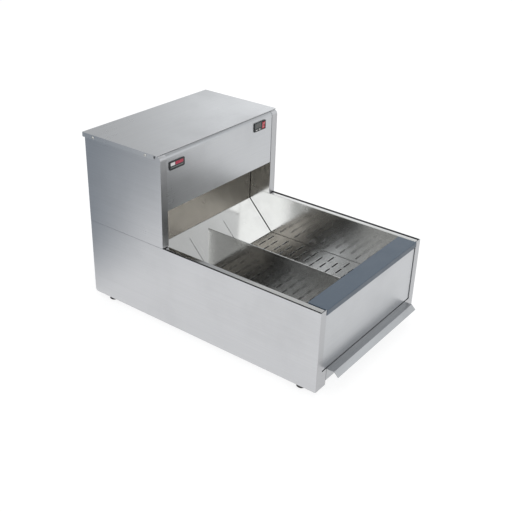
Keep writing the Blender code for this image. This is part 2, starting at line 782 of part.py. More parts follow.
def motor_bracket():
    """The plate between motor and housing, with feet down to the duct's top."""
    depths = (BLOWER[0] - 0.030, BLOWER[0] + 0.030)
    plate = box((0.0320, 0.0340), depths, (0.2640, BLOWER[1] + 0.045))
    foot_plate = box((0.0320, 0.0700), depths, (0.2630, 0.2650))
    bracket = fuse(plate, foot_plate)
    cut(bracket, side_rod((0.025, 0.040), *BLOWER, 0.0070, 12))
    return finish(bracket, "motor_bracket", GALVANISED)


def air_duct():
    """The duct from the blower's outlet down past the element and forward under the bin floor."""
    tower = box((-DUCT_HALF, DUCT_HALF), DUCT_DEPTHS, DUCT_HEIGHTS)
    channel = box((-DUCT_HALF, DUCT_HALF), (CHANNEL_FRONT, 0.600), (DUCT_HEIGHTS[0], CHANNEL_TOP))
    duct = fuse(tower, channel)
    inner_half = DUCT_HALF - SHEET
    tower_hollow = box(
        (-inner_half, inner_half),
        (DUCT_DEPTHS[0] + SHEET, DUCT_DEPTHS[1] - SHEET),
        (DUCT_HEIGHTS[0] + SHEET, DUCT_HEIGHTS[1] - SHEET),
    )
    channel_hollow = box(
        (-inner_half, inner_half),
        (CHANNEL_FRONT - 0.01, 0.610),
        (DUCT_HEIGHTS[0] + SHEET, CHANNEL_TOP - SHEET),
    )
    outlet_inside = scroll_outline(0.0, OUTLET_HEIGHT)[-1][0]
    mouth = box(
        (-BLOWER_HALF, BLOWER_HALF),
        (outlet_inside, DUCT_DEPTHS[1] - 0.006),
        (DUCT_HEIGHTS[1] - 0.01, DUCT_HEIGHTS[1] + 0.01),
    )
    leads = [
        side_rod((DUCT_HALF - 0.01, DUCT_HALF + 0.01), ELEMENT_DEPTH, height, 0.0052)
        for height in (ELEMENT_HEIGHTS[0], ELEMENT_HEIGHTS[-1])
    ]
    cut(duct, tower_hollow, channel_hollow, mouth, joined(leads))
    return finish(duct, "air_duct", GALVANISED)


def element_route():
    """The element's centre line: four passes across the duct, joined by half circles."""
    reach = 0.110
    lead_end = DUCT_HALF + 0.018
    points = [(lead_end, ELEMENT_HEIGHTS[0])]
    for i, (low, high) in enumerate(zip(ELEMENT_HEIGHTS, ELEMENT_HEIGHTS[1:])):
        side = -1 if i % 2 == 0 else 1
        radius = (high - low) / 2
        turn = arc((0, low + radius), radius, -90, 90, 6)
        points += [(side * (reach + u), v) for u, v in turn]
    points.append((lead_end, ELEMENT_HEIGHTS[-1]))
    return points


def heating_element():
    """The tubular element that heats the air."""
    curve = bpy.data.curves.new("heating_element", "CURVE")
    curve.dimensions = "3D"
    spline = curve.splines.new("POLY")
    route = element_route()
    spline.points.add(len(route) - 1)
    for point, (x, height) in zip(spline.points, route):
        point.co = (*place(x, ELEMENT_DEPTH, height), 1.0)
    curve.bevel_depth = 0.004
    curve.bevel_resolution = 2
    curve.use_fill_caps = True
    tube = bpy.data.objects.new("heating_element", curve)
    bpy.context.collection.objects.link(tube)
    paint(tube, ELEMENT)
    return tube


def element_bracket(side_name, side):
    """A strip with a hole for each pass of the element, standing off the duct's back."""
    strip = box(
        mirrored((0.0780, 0.0795), side),
        (ELEMENT_DEPTH - 0.012, DUCT_DEPTHS[1] - SHEET - 0.0004),
        (ELEMENT_HEIGHTS[0] - 0.015, ELEMENT_HEIGHTS[-1] + 0.015),
    )
    holes = [
        side_rod(mirrored((0.070, 0.090), side), ELEMENT_DEPTH, height, 0.0048)
        for height in ELEMENT_HEIGHTS
    ]
    cut(strip, joined(holes))
    return finish(strip, f"element_bracket_{side_name}", STEEL)


def high_limit_thermostat():
    """The snap-disc cutout on the duct's left side, with its flange and two terminals."""
    face = -DUCT_HALF - 0.0004
    depth, height = 0.645, 0.200
    flange_heights = (height - 0.006, height + 0.006)
    flange = box((face, face - 0.0012), (depth - 0.018, depth + 0.018), flange_heights)
    disc = side_rod((face - 0.0005, face - 0.0110), depth, height, 0.0095, 20)
    tabs = [
        box(
            (face - 0.0100, face - 0.0190),
            (depth + side * 0.005, depth + side * 0.0058),
            (height - 0.003, height + 0.003),
        )
        for side in SIDES.values()
    ]
    return finish(fuse(flange, disc, *tabs), "high_limit_thermostat", BLACK)


def temperature_probe():
    """The controller's probe, beside the air channel."""
    start, end = place(0.1900, 0.300, 0.0700), place(0.1900, 0.440, 0.0700)
    return finish(rod(0.0025, start, end, 10), "temperature_probe", STEEL, smooth=True)


def probe_clip():
    """The tab under the right floor support that the probe passes through."""
    tab = box((0.1840, 0.2072), (0.3500, 0.3520), (0.0640, 0.0880))
    cut(tab, rod(0.0031, place(0.1900, 0.34, 0.0700), place(0.1900, 0.36, 0.0700), 12))
    return finish(tab, "probe_clip", GALVANISED)


def terminal_block():
    """A five-way barrier strip on the base pan."""
    low = 0.0040
    base = box((0.1700, 0.1920), (0.590, 0.650), (low, low + 0.010))
    barriers = [
        box((0.1710, 0.1910), (depth, depth + 0.0015), (low + 0.009, low + 0.018))
        for depth in (0.590 + 0.0117 * i for i in range(6))
    ]
    return finish(fuse(base, *barriers), "terminal_block", CREAM)


def power_inlet():
    """A three-pin appliance inlet: its flange is outside the rear panel."""
    face = BODY_DEPTH
    flange_outline = rounded_rectangle(INLET_X, INLET_HEIGHT, 0.046, 0.028, 0.004)
    flange = front_profile(flange_outline, (face, face + 0.0025))
    body = box(
        (INLET_X - 0.0135, INLET_X + 0.0135),
        (face - 0.020, face + 0.001),
        (INLET_HEIGHT - 0.0100, INLET_HEIGHT + 0.0100),
    )
    fuse(flange, body)
    recess = box(
        (INLET_X - 0.0120, INLET_X + 0.0120),
        (face - 0.015, face + 0.010),
        (INLET_HEIGHT - 0.0083, INLET_HEIGHT + 0.0083),
    )
    cut(flange, recess)
    pins = [
        box(
            (INLET_X + x - 0.0010, INLET_X + x + 0.0010),
            (face - 0.016, face - 0.001),
            (INLET_HEIGHT + lift - 0.002, INLET_HEIGHT + lift + 0.002),
        )
        for x, lift in ((-0.007, -0.0015), (0.0, 0.0025), (0.007, -0.0015))
    ]
    fuse(flange, *pins)
    return finish(flange, "power_inlet", BLACK)


def build():
    """Clears the scene and makes every piece."""
    for obj in list(bpy.data.objects):
        bpy.data.objects.remove(obj)
    for side_name, side in SIDES.items():
        base_side(side_name, side)
        hood_side(side_name, side)
        bin_side_wall(side_name, side)
        mouth_cheek(side_name, side)
        floor_support(side_name, side)
        tray_runner(side_name, side)
        element_bracket(side_name, side)
        for end_name, depth in COVER_SCREW_DEPTHS.items():
            cover_screw(side_name, side, end_name, depth)
        for end_name, depth in FOOT_DEPTHS.items():
            foot(side_name, side, end_name, depth)
            foot_screw(side_name, side, end_name, depth)
    for name, x in BUTTON_XS.items():
        set_button(name, x)
    for make in (
        hood_front_panel, hood_cover, rear_panel, base_pan, front_panel, front_rail,
        bin_front_wall, rear_chute, back_wall, intake_grille, bin_floor, divider,
        crumb_tray, tray_handle, badge, control_bezel, display_lens, power_rocker,
        controller_housing, blower_housing, blower_wheel, motor_shaft, blower_motor,
        motor_bracket, air_duct, heating_element, high_limit_thermostat, temperature_probe,
        probe_clip, terminal_block, power_inlet,
    ):
        make()


build()
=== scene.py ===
"""Looks of a countertop holding station for fried food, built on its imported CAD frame.

Every CAD node keeps its shape, and gets rounded edges and a detailed finish. Small pieces are
added: the badge's rim and bars, the display's digits, the controls' marks and the rear panel's
screws. Units are metres, +Z up, with the front at -Y.
"""

import json
import math

import bmesh
import bpy
from mathutils import Matrix, Vector


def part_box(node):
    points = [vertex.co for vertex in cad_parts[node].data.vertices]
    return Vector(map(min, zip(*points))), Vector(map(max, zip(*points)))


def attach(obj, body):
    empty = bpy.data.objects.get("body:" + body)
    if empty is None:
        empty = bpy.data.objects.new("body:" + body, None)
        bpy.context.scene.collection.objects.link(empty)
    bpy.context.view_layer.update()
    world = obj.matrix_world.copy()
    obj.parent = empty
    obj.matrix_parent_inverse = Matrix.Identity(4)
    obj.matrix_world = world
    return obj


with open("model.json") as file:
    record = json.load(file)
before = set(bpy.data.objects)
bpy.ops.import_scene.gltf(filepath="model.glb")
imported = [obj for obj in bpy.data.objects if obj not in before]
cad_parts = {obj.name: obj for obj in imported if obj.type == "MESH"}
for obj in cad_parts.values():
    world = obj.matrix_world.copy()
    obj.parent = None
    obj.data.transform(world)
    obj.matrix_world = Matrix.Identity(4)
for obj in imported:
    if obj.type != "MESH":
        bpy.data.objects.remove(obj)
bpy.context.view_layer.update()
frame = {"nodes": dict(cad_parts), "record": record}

NODES = frame["nodes"]

# Camera, with angles in degrees
CAMERA_PLACE = Vector((-1.5102, -1.0986, 1.1652))
CAMERA_AZIMUTH = -53.84
CAMERA_DROP = 28.43
CAMERA_ROLL = 1.879
LENS = 57.58

# Studio. A patch of sky has its middle's azimuth (from +Y towards +X) and elevation in degrees,
# and the cosines of its angles from there: dark beyond edge and fully bright within core.
FLOOR_SIZE = 40.0
FLOOR_GREY = 0.28
FLOOR_GLOW = 0.80
SKY_GREY = 0.58
SKY_TINT = (0.975, 0.99, 1.0, 1.0)
STRIP = {"azimuth": 100.0, "elevation": 0.0, "edge": 0.50, "core": 0.66, "strength": 0.70}
STRIP_TOP = (0.39, 0.51)
SIDE_SOFTBOX = {"azimuth": 104.0, "elevation": 18.0, "edge": 0.905, "core": 0.960, "strength": 0.72}
FRONT_SOFTBOX = {"azimuth": -126.0, "elevation": 36.0, "edge": 0.84, "core": 0.96, "strength": 1.40}
CARD_XS = (-0.50, -0.25)
CARD_YS = (0.12, 1.30)
CARD_HEIGHTS = (0.003, 0.90)
CARD_GREY = (0.30, 0.335, 0.375, 1.0)
CARD_REAR_YS, CARD_REAR_SHARE = (0.32, 0.70), 0.4
CARD_UPPER_YS, CARD_UPPER_ZS, CARD_UPPER_COVER = (0.13, 0.38), (0.0, 0.30), 0.62
OVERHEAD_SIZE = 2.4
OVERHEAD_WATTS = 14.0
OVERHEAD_PLACE = (0.3, -0.2, 2.6)

# Rounded edges
ROUNDING = 0.00035
SHARP_ANGLE = 35
WELD_DISTANCE = 0.00001


# Shader nodes


def add(tree, kind, inputs=None, **settings):
    """A shader node, with each input set to a value or linked to another node's output."""
    node = tree.nodes.new("ShaderNode" + kind)
    for key, value in settings.items():
        setattr(node, key, value)
    for key, value in (inputs or {}).items():
        if isinstance(value, bpy.types.NodeSocket):
            tree.links.new(value, node.inputs[key])
        else:
            node.inputs[key].default_value = value
    return node


def new_material(name, colour, roughness, **sockets):
    """A Principled material with plain values. Returns it, its tree and its shader.

    A socket's name is written with _ for each space.
    """
    material = bpy.data.materials.new(name)
    material.use_nodes = True
    shader = material.node_tree.nodes["Principled BSDF"]
    shader.inputs["Base Color"].default_value = (*colour, 1.0)
    shader.inputs["Roughness"].default_value = roughness
    for key, value in sockets.items():
        shader.inputs[key.replace("_", " ")].default_value = value
    return material, material.node_tree, shader


def place_in(tree, scale, turn=(0.0, 0.0, 0.0)):
    """The object's own coordinates, turned and scaled."""
    source = add(tree, "TexCoord").outputs["Object"]
    mapping = add(tree, "Mapping", {"Vector": source, "Scale": scale, "Rotation": turn})
    return mapping.outputs["Vector"]


def noise(tree, scales, turn=(0.0, 0.0, 0.0), detail=3.0, roughness=0.5):
    """Noise over the object, with its number of cells per metre along each axis."""
    vector = place_in(tree, scales, turn)
    settings = {"Vector": vector, "Scale": 1.0, "Detail": detail, "Roughness": roughness}
    return add(tree, "TexNoise", settings).outputs["Fac"]


def spread(tree, value, low, high, start=0.3, end=0.7, easing="LINEAR"):
    """Maps start..end of a value to low..high, clamped."""
    limits = {"Value": value, "From Min": start, "From Max": end, "To Min": low, "To Max": high}
    return add(tree, "MapRange", limits, interpolation_type=easing).outputs["Result"]


def smooth_step(tree, value, start, end, low=0.0, high=1.0):
    return spread(tree, value, low, high, start, end, "SMOOTHSTEP")


def maths(tree, operation, first, second):
    return add(tree, "Math", {0: first, 1: second}, operation=operation).outputs["Value"]


def mix_colour(tree, factor, first, second):
    """Blends two colours, each a plain (r, g, b) or another node's output."""
    mixer = tree.nodes.new("ShaderNodeMix")
    mixer.data_type = "RGBA"
    sockets = [mixer.inputs[k] for k in (0, 6, 7)]
    for socket, value in zip(sockets, (factor, first, second)):
        if isinstance(value, bpy.types.NodeSocket):
            tree.links.new(value, socket)
        elif socket.type == "RGBA":
            socket.default_value = (*value, 1.0)
        else:
            socket.default_value = value
    return mixer.outputs[2]


def raise_surface(tree, shader, height, depth, strength=1.0):
    """Bump of this depth in metres."""
    bump = add(tree, "Bump", {"Height": height, "Distance": depth, "Strength": strength})
    tree.links.new(bump.outputs["Normal"], shader.inputs["Normal"])


def facing_along(tree, axis):
    """How far a face looks along one of the object's axes, from -1 to 1."""
    normal = add(tree, "TexCoord").outputs["Normal"]
    return add(tree, "SeparateXYZ", {"Vector": normal}).outputs[axis]


def tinted(colour, shade):
    return tuple(shade * c for c in colour)


def paint_shade_along(tree, painted_shade, colour, surface):
    """Painted shade: the surface's colour, darkened where it looks along an axis.

    The second argument is (axis, full, none, shade): faces are colour times shade where their
    normal reaches full, and keep the surface's colour where it is none.
    """
    axis, full, none, shade = painted_shade
    amount = spread(tree, facing_along(tree, axis), 1.0, 0.0, full, none)
    return mix_colour(tree, amount, surface, tinted(colour, shade))


# Finishes

AXES = "XYZ"
# Painted shade, as (axis, full, none, shade): the side panels' forward-facing flanges, the front
# and rear panels' upward-facing bends and the rail's forward-facing lip get a darker base colour
# that stands in for the shade they fall in.
SIDE_PAINTED_SHADE = ("Y", -0.9, -0.5, 0.76)
FRONT_PAINTED_SHADE = ("Z", 0.45, 0.0, 0.82)
RAIL_PAINTED_SHADE = ("Y", -0.9, -0.5, 0.72)
BRUSHING = {"fine": (9.0, 2200.0), "coarse": (2.0, 420.0)}


def brushed_steel(name, grain, normal, colour, roughness=0.30, painted_shade=None):
    """Brushed stainless sheet: grain is the axis it runs along, and normal the main faces' axis.

    The last argument, when given, paints shade on the faces that look along one axis,
    with the (axis, full, none, shade) tuple of the painted-shade helper above.
    """
    material, tree, shader = new_material(
        name, colour, roughness, Metallic=1.0, Anisotropic=0.55, Anisotropic_Rotation=0.25
    )
    across = AXES.replace(grain, "").replace(normal, "")
    tangent = add(tree, "Tangent", direction_type="RADIAL", axis=across)
    tree.links.new(tangent.outputs["Tangent"], shader.inputs["Tangent"])
    scales = {
        kind: tuple(along if axis == grain else crosswise for axis in AXES)
        for kind, (along, crosswise) in BRUSHING.items()
    }
    fine = noise(tree, scales["fine"], detail=4.0, roughness=0.6)
    coarse = noise(tree, scales["coarse"], detail=2.0)
    lines = maths(
        tree, "ADD", maths(tree, "MULTIPLY", fine, 0.65), maths(tree, "MULTIPLY", coarse, 0.35)
    )
    smudges = noise(tree, (7.0, 7.0, 7.0), detail=5.0, roughness=0.62)
    streaks = spread(tree, lines, 0.0, 1.0, 0.35, 0.65)
    grained = mix_colour(tree, streaks, tinted(colour, 0.94), tinted(colour, 1.04))
    soil = spread(tree, smudges, 0.0, 0.7, 0.50, 0.80)
    surface = mix_colour(tree, soil, grained, tinted(colour, 0.90))
    # Painted shade on the faces that look along one axis.
    if painted_shade:
        surface = paint_shade_along(tree, painted_shade, colour, surface)
    tree.links.new(surface, shader.inputs["Base Color"])
    worn = maths(
        tree, "ADD",
        spread(tree, lines, roughness - 0.012, roughness + 0.012, 0.35, 0.65),
        spread(tree, smudges, -0.02, 0.06, 0.35, 0.75),
    )
    tree.links.new(worn, shader.inputs["Roughness"])
    raise_surface(tree, shader, lines, 0.000002, 0.08)
    return material


def polished_steel(name, colour=(0.67, 0.67, 0.66), roughness=0.15):
    """Bright stainless sheet: nearly a mirror, slightly wavy, with scuffs from scoops."""
    material, tree, shader = new_material(name, colour, roughness, Metallic=1.0)
    waves = noise(tree, (9.0, 9.0, 9.0), detail=1.0)
    cloud = noise(tree, (16.0, 16.0, 16.0), detail=5.0, roughness=0.65)
    first = noise(tree, (1500.0, 26.0, 26.0), (0.5, 0.3, 0.5), detail=2.0)
    second = noise(tree, (26.0, 1300.0, 30.0), (0.2, -0.4, 0.35), detail=2.0)
    scratches = maths(
        tree, "MAXIMUM",
        spread(tree, first, 0.0, 1.0, 0.66, 0.74),
        spread(tree, second, 0.0, 1.0, 0.66, 0.74),
    )
    tone = mix_colour(tree, spread(tree, cloud, 0.0, 0.6, 0.50, 0.80), colour, tinted(colour, 0.88))
    tree.links.new(tone, shader.inputs["Base Color"])
    worn = maths(
        tree, "ADD",
        spread(tree, cloud, roughness - 0.02, roughness + 0.03, 0.35, 0.70),
        maths(tree, "MULTIPLY", scratches, 0.12),
    )
    tree.links.new(worn, shader.inputs["Roughness"])
    raise_surface(tree, shader, waves, 0.00015, 0.3)
    return material


def galvanised_steel(name):
    """Zinc-coated sheet, with spangles of slightly different greys."""
    material, tree, shader = new_material(name, (0.52, 0.54, 0.56), 0.42, Metallic=1.0)
    cells = add(tree, "TexVoronoi", {"Vector": place_in(tree, (95.0, 95.0, 95.0))})
    level = add(tree, "SeparateColor", {"Color": cells.outputs["Color"]}).outputs["Red"]
    cloud = noise(tree, (30.0, 30.0, 30.0), detail=4.0)
    tone = mix_colour(tree, level, (0.44, 0.46, 0.48), (0.60, 0.61, 0.62))
    tree.links.new(tone, shader.inputs["Base Color"])
    worn = maths(
        tree, "ADD", spread(tree, level, 0.34, 0.46, 0.0, 1.0), spread(tree, cloud, -0.03, 0.08)
    )
    tree.links.new(worn, shader.inputs["Roughness"])
    raise_surface(tree, shader, cloud, 0.0001, 0.3)
    return material


def moulded(name, colour, roughness, grain_scale=900.0, grain_depth=0.00004, **sockets):
    """Moulded plastic, rubber or paint: a fine surface grain and slightly uneven gloss."""
    material, tree, shader = new_material(name, colour, roughness, **sockets)
    grain = noise(tree, (grain_scale,) * 3, detail=2.0)
    cloud = noise(tree, (28.0, 28.0, 28.0), detail=5.0, roughness=0.6)
    lighter = tuple(c + 0.12 * (0.25 - 0.2 * c) for c in colour)
    tone = mix_colour(tree, spread(tree, cloud, 0.0, 0.5, 0.42, 0.75), colour, lighter)
    tree.links.new(tone, shader.inputs["Base Color"])
    worn = spread(tree, cloud, max(roughness - 0.06, 0.02), roughness + 0.10)
    tree.links.new(worn, shader.inputs["Roughness"])
    raise_surface(tree, shader, grain, grain_depth, 0.5)
    return material


def slate_composite(name):
    """The work rail: dense slate-grey composite, with flecks and fine knife marks along it, and
    painted shade on its forward-facing lip.
    """
    colour = (0.066, 0.094, 0.130)
    material, tree, shader = new_material(name, colour, 0.40)
    flecks = noise(tree, (700.0, 700.0, 700.0), detail=2.0)
    marks = noise(tree, (14.0, 1100.0, 300.0), (0.0, 0.0, 0.12), detail=2.0)
    cloud = noise(tree, (22.0, 22.0, 22.0), detail=5.0)
    tone = mix_colour(tree, spread(tree, flecks, 0.0, 0.5, 0.55, 0.75), colour, (0.12, 0.15, 0.18))
    scored = mix_colour(tree, spread(tree, marks, 0.0, 0.35, 0.66, 0.74), tone, (0.22, 0.25, 0.28))
    # Painted shade: faces that look forward, such as the rail's lip, are darkened.
    surface = paint_shade_along(tree, RAIL_PAINTED_SHADE, colour, scored)
    tree.links.new(surface, shader.inputs["Base Color"])
    tree.links.new(spread(tree, cloud, 0.32, 0.46), shader.inputs["Roughness"])
    raise_surface(tree, shader, marks, 0.00003, 0.4)
    return material


def heater_sheath(name):
    """The heater's sheath, blued and browned by heat."""
    material, tree, shader = new_material(name, (0.20, 0.18, 0.17), 0.45, Metallic=1.0)
    bands = noise(tree, (18.0, 60.0, 60.0))
    tone = mix_colour(tree, spread(tree, bands, 0.0, 1.0), (0.26, 0.20, 0.15), (0.13, 0.14, 0.19))
    tree.links.new(tone, shader.inputs["Base Color"])
    tree.links.new(spread(tree, bands, 0.38, 0.60), shader.inputs["Roughness"])
    return material


# Meshes


def mesh_object(name, make):
    """A new object from make(bm)."""
    bm = bmesh.new()
    make(bm)
    bmesh.ops.recalc_face_normals(bm, faces=bm.faces)
    mesh = bpy.data.meshes.new(name)
    bm.to_mesh(mesh)
    bm.free()
    obj = bpy.data.objects.new(name, mesh)
    bpy.context.collection.objects.link(obj)
    return obj


def dress(obj, material, body):
    """Gives a new piece its finish, and joins it to its body."""
    obj.data.materials.clear()
    obj.data.materials.append(material)
    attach(obj, body)
    return obj


def round_edges(obj):
    """Joins the CAD mesh's triangles, rounds its sharp edges and keeps its flat faces flat."""
    obj.data.shade_smooth()
    weld = obj.modifiers.new("weld", "WELD")
    weld.merge_threshold = WELD_DISTANCE
    bevel = obj.modifiers.new("rounded edges", "BEVEL")
    bevel.width = ROUNDING
    bevel.segments = 2
    bevel.limit_method = "ANGLE"
    bevel.angle_limit = math.radians(SHARP_ANGLE)
    bevel.harden_normals = False
    normals = obj.modifiers.new("flat faces", "WEIGHTED_NORMAL")
    normals.keep_sharp = False


def outline_of(low, high, radius, steps=6):
    """A rounded rectangle's (x, z) points, anticlockwise from the lower left."""
    centres = (
        (low[0] + radius, low[1] + radius, 180), (high[0] - radius, low[1] + radius, 270),
        (high[0] - radius, high[1] - radius, 0), (low[0] + radius, high[1] - radius, 90),
    )
    points = []
    for x, z, start in centres:
        for i in range(steps + 1):
            angle = math.radians(start + 90 * i / steps)
            points.append((x + radius * math.cos(angle), z + radius * math.sin(angle)))
    return points


def sheet_between(bm, outline, front, back, chamfer):
    """A solid from the outline, with its front edge chamfered. front and back are values of y."""
    middle = [sum(p[k] for p in outline) / len(outline) for k in (0, 1)]
    size = max(math.dist(p, middle) for p in outline)
    shrink = 1 - chamfer / size
    small = [tuple(middle[k] + (p[k] - middle[k]) * shrink for k in (0, 1)) for p in outline]
    rings = [
        [bm.verts.new((x, y, z)) for x, z in points]
        for points, y in ((small, front), (outline, front + chamfer), (outline, back))
    ]
    count = len(outline)
    for near, far in zip(rings, rings[1:]):
        for i in range(count):
            j = (i + 1) % count
            bm.faces.new((near[i], near[j], far[j], far[i]))
    bm.faces.new(rings[0])
    bm.faces.new(rings[-1])


def ring_between(bm, outer, inner, front, back):
    """A flat closed frame between two outlines with equal numbers of points."""
    rings = [
        [bm.verts.new((x, y, z)) for x, z in points]
        for points, y in ((outer, back), (outer, front), (inner, front), (inner, back))
    ]
    count = len(outer)
    for near, far in zip(rings, rings[1:] + rings[:1]):
        for i in range(count):
            j = (i + 1) % count
            bm.faces.new((near[i], near[j], far[j], far[i]))


def middle_of(low, high):
    """The middle of a front face, as (x, z)."""
    return (low[0] + high[0]) / 2, (low[2] + high[2]) / 2


# Badge, display, buttons and rocker

MARK_RISE, MARK_SINK = 0.00012, 0.0001
BADGE_RADIUS, BADGE_RIM = 0.0040, 0.0009
BADGE_RIM_RISE, BADGE_RIM_SINK = 0.00025, 0.0002
BADGE_BAR_RISE, BADGE_BAR_RADIUS = 0.0002, 0.0008
BADGE_BARS = {
    "badge_light_bar": ((0.0050, 0.0100), (0.0200, 0.0178)),
    "badge_red_bar": ((0.0215, 0.0100), (0.0490, 0.0178)),
    "badge_lower_line": ((0.0050, 0.0048), (0.0490, 0.0066)),
}
SEGMENT_WIDTH = 0.00085
SEGMENT_RISE, SEGMENT_SINK = 0.00006, 0.00005
DIGIT_SIZE = (0.0046, 0.0082)
DIGIT_CENTRES = (-0.0070, 0.0, 0.0070)
BUTTON_MARK = ((-0.0013, -0.0008), (0.0013, -0.0008), (0.0, 0.0010))


def make_badge(finishes):
    """A generic badge: a thin rim and three plain bars."""
    low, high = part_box("badge_plate")
    left, bottom, right, top, face = low[0], low[2], high[0], high[2], low[1]
    rim = BADGE_RIM

    def make_rim(bm):
        outer = outline_of((left, bottom), (right, top), BADGE_RADIUS)
        inner = outline_of((left + rim, bottom + rim), (right - rim, top - rim), BADGE_RADIUS - rim)
        ring_between(bm, outer, inner, face - BADGE_RIM_RISE, face + BADGE_RIM_SINK)

    dress(mesh_object("badge_rim", make_rim), finishes["rim"], "cabinet")
    for name, corners in BADGE_BARS.items():
        def make_bar(bm):
            start, end = ((left + x, bottom + z) for x, z in corners)
            outline = outline_of(start, end, BADGE_BAR_RADIUS)
            sheet_between(bm, outline, face - BADGE_BAR_RISE, face + MARK_SINK, 0.0001)

        dress(mesh_object(name, make_bar), finishes[name], "cabinet")


def segment_boxes(x, z):
    """The seven segments of one digit, as (low, high) corners in x and z."""
    half_width, half_height = DIGIT_SIZE[0] / 2, DIGIT_SIZE[1] / 2
    half = SEGMENT_WIDTH / 2
    reach = half_width - 0.7 * SEGMENT_WIDTH
    for level in (-half_height, 0.0, half_height):
        yield (x - reach, z + level - half), (x + reach, z + level + half)
    gap = 0.75 * SEGMENT_WIDTH
    for side in (-half_width, half_width):
        for start, end in ((-half_height + gap, -gap), (gap, half_height - gap)):
            yield (x + side - half, z + start), (x + side + half, z + end)


def make_display(finish):
    """Three unlit seven-segment digits, just proud of the window."""
    low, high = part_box("display_lens")
    middle_x, middle_z = middle_of(low, high)
    for number, offset in enumerate(DIGIT_CENTRES, 1):
        def make(bm):
            for start, end in segment_boxes(middle_x + offset, middle_z):
                outline = outline_of(start, end, 0.0002, 2)
                sheet_between(bm, outline, low[1] - SEGMENT_RISE, low[1] + SEGMENT_SINK, 0.00002)

        dress(mesh_object(f"display_digit_{number}", make), finish, "cabinet")


def make_button_marks(finish):
    """A raised triangle on each set button."""
    for name, turn in (("down", -1), ("up", 1)):
        low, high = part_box(f"temperature_{name}_button")
        middle_x, middle_z = middle_of(low, high)
        outline = [(middle_x + turn * x, middle_z + turn * z) for x, z in BUTTON_MARK]

        def make(bm):
            sheet_between(bm, outline, low[1] - MARK_RISE, low[1] + MARK_SINK, 0.00005)

        dress(mesh_object(f"{name}_button_mark", make), finish, f"{name}_button")


ROCKER_TILT = math.radians(6)
ROCKER_RIDGE, ROCKER_FALL, ROCKER_END = 0.0016, 0.0012, 0.0093
ROCKER_LINE = ((-0.0003, 0.0036), (0.0003, 0.0068))
ROCKER_RING_RADII, ROCKER_RING_DROP = (0.0017, 0.0011), 0.0052


def rocker_point(centre, across, along, rise):
    """A point on a face of the tilted rocker. along is the distance up from its ridge."""
    slope = ROCKER_FALL / ROCKER_END
    depth = -ROCKER_RIDGE - slope * abs(along) - rise
    cosine, sine = math.cos(ROCKER_TILT), math.sin(ROCKER_TILT)
    return (
        centre[0] + across,
        centre[1] + depth * cosine - along * sine,
        centre[2] + depth * sine + along * cosine,
    )


def make_rocker_marks(finish):
    """The usual line and ring of a power switch, one on each half of the rocker."""
    frame_low, frame_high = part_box("control_bezel")
    low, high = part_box("power_rocker")
    centre = (middle_of(low, high)[0], frame_high[1], middle_of(frame_low, frame_high)[1])
    line = outline_of(*ROCKER_LINE, 0.00015, 2)
    angles = [math.tau * i / 24 for i in range(24)]
    outer, inner = (
        [(r * math.cos(a), r * math.sin(a) - ROCKER_RING_DROP) for a in angles]
        for r in ROCKER_RING_RADII
    )

    def bent(make_flat):
        def make(bm):
            make_flat(bm)
            for vertex in bm.verts:
                across, rise, along = vertex.co
                vertex.co = rocker_point(centre, across, along, -rise)

        return make

    pieces = {
        "rocker_line_mark": lambda bm: sheet_between(bm, line, -MARK_RISE, MARK_SINK, 0.00004),
        "rocker_ring_mark": lambda bm: ring_between(bm, outer, inner, -MARK_RISE, MARK_SINK),
    }
    for name, make_flat in pieces.items():
        dress(mesh_object(name, bent(make_flat)), finish, "rocker_switch")


# Screws of the rear panel

SCREW_RADIUS, SCREW_HEIGHT = 0.0036, 0.0020
REAR_SCREW_XS = (-0.2195, 0.2195)
REAR_SCREW_HEIGHTS = (0.045, 0.185, 0.325, 0.452)
RECESS_WIDTH, RECESS_LENGTH, RECESS_DEPTH, RECESS_TAPER = 0.00075, 0.0043, 0.0013, 0.72
SCREW_TURN = 0.7
# (radius, height) around the head's rim, as shares of its radius and height
SCREW_DOME = ((0.35, 1.0), (0.62, 0.95), (0.82, 0.82), (0.94, 0.62), (1.0, 0.36), (1.0, 0.0))


def turned(bm, profile, count=32):
    """A body turned about the Y axis, from (radius, y) points that start and end on the axis."""
    rings = []
    for radius, y in profile[1:-1]:
        angles = [math.tau * i / count for i in range(count)]
        points = [(radius * math.cos(a), y, radius * math.sin(a)) for a in angles]
        rings.append([bm.verts.new(point) for point in points])
    ends = [bm.verts.new((0.0, profile[k][1], 0.0)) for k in (0, -1)]
    for i in range(count):
        j = (i + 1) % count
        bm.faces.new((ends[0], rings[0][i], rings[0][j]))
        bm.faces.new((ends[1], rings[-1][j], rings[-1][i]))
        for near, far in zip(rings, rings[1:]):
            bm.faces.new((near[i], far[i], far[j], near[j]))


def screw_mesh():
    """A pan head with a cross recess, facing +Y."""
    profile = [(0.0, SCREW_HEIGHT)]
    profile += [(SCREW_RADIUS * r, SCREW_HEIGHT * h) for r, h in SCREW_DOME]
    profile += [(0.0, 0.0)]

    def make_cutter(bm):
        for width, length in ((RECESS_WIDTH, RECESS_LENGTH), (RECESS_LENGTH, RECESS_WIDTH)):
            for vertex in bmesh.ops.create_cube(bm, size=1.0)["verts"]:
                taper = 1.0 if vertex.co.y > 0 else RECESS_TAPER
                vertex.co.x *= width * taper
                vertex.co.y = vertex.co.y * RECESS_DEPTH * 2 + SCREW_HEIGHT
                vertex.co.z *= length * taper

    head = mesh_object("screw_head", lambda bm: turned(bm, profile))
    cutter = mesh_object("screw_cutter", make_cutter)
    cut = head.modifiers.new("recess", "BOOLEAN")
    cut.operation = "DIFFERENCE"
    cut.solver = "EXACT"
    cut.use_self = True
    cut.object = cutter
    graph = bpy.context.evaluated_depsgraph_get()
    mesh = bpy.data.meshes.new_from_object(head.evaluated_get(graph))
    for obj in (head, cutter):
        bpy.data.objects.remove(obj)
    return mesh


